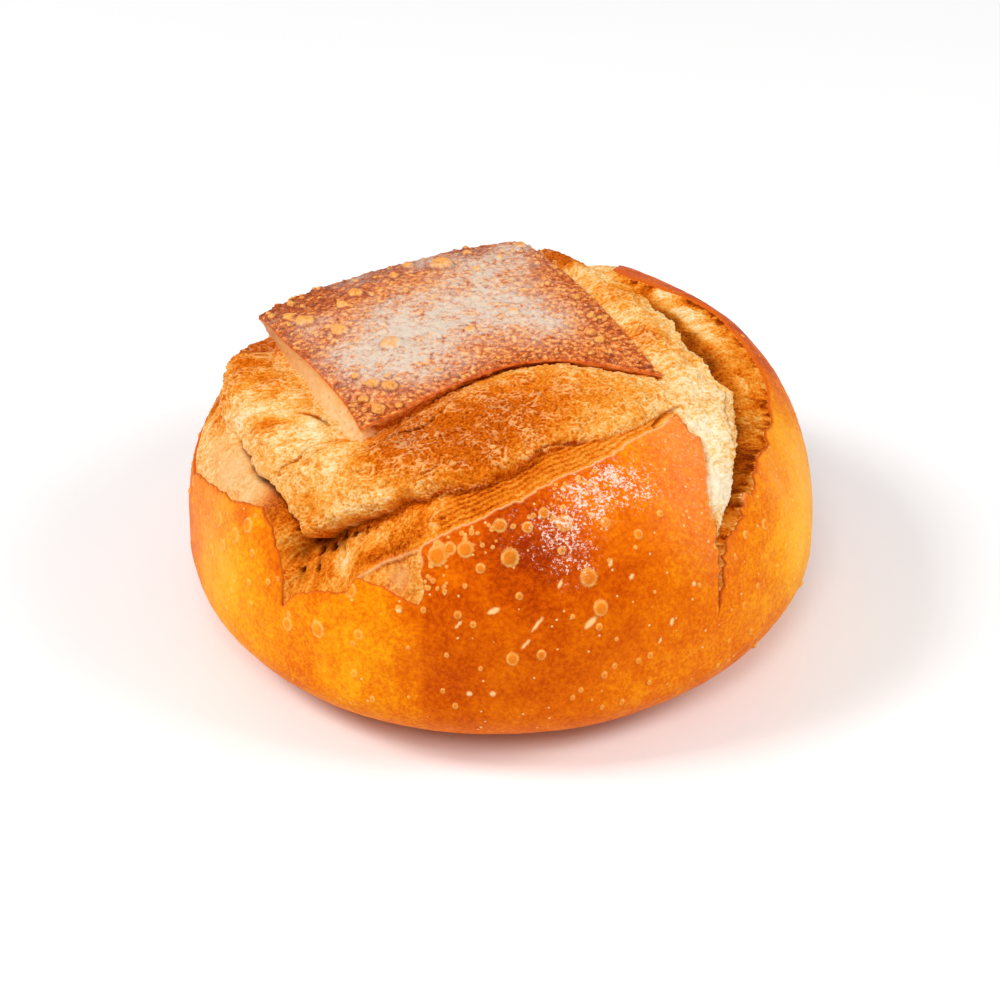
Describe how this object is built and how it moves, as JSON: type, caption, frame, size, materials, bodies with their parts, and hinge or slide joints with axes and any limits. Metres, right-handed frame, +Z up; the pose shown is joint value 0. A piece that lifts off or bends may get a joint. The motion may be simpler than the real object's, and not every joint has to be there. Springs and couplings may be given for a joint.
{
  "type": "italian bread",
  "caption": "Round crusty loaf of Italian bread, scored in a square on top, with a flour-dusted lid of crust, torn crumb around it and lifted crust petals.",
  "frame": {"origin": "centre of the bounding box at its base, on the surface the loaf rests on", "axes": "+Z up, the loaf's shortest extent; -Y towards the front, the side that the picture shows"},
  "size_m": [0.2022, 0.2018, 0.094],
  "materials": {
    "crust": "golden orange baked crust, smooth with a slight gloss",
    "lid": "dark red-brown blistered crust with dusted flour",
    "crumb": "torn open crumb, cream with toasted golden-brown ridges"
  },
  "bodies": {
    "root": {"loaf": "crust"}
  },
  "joints": []
}
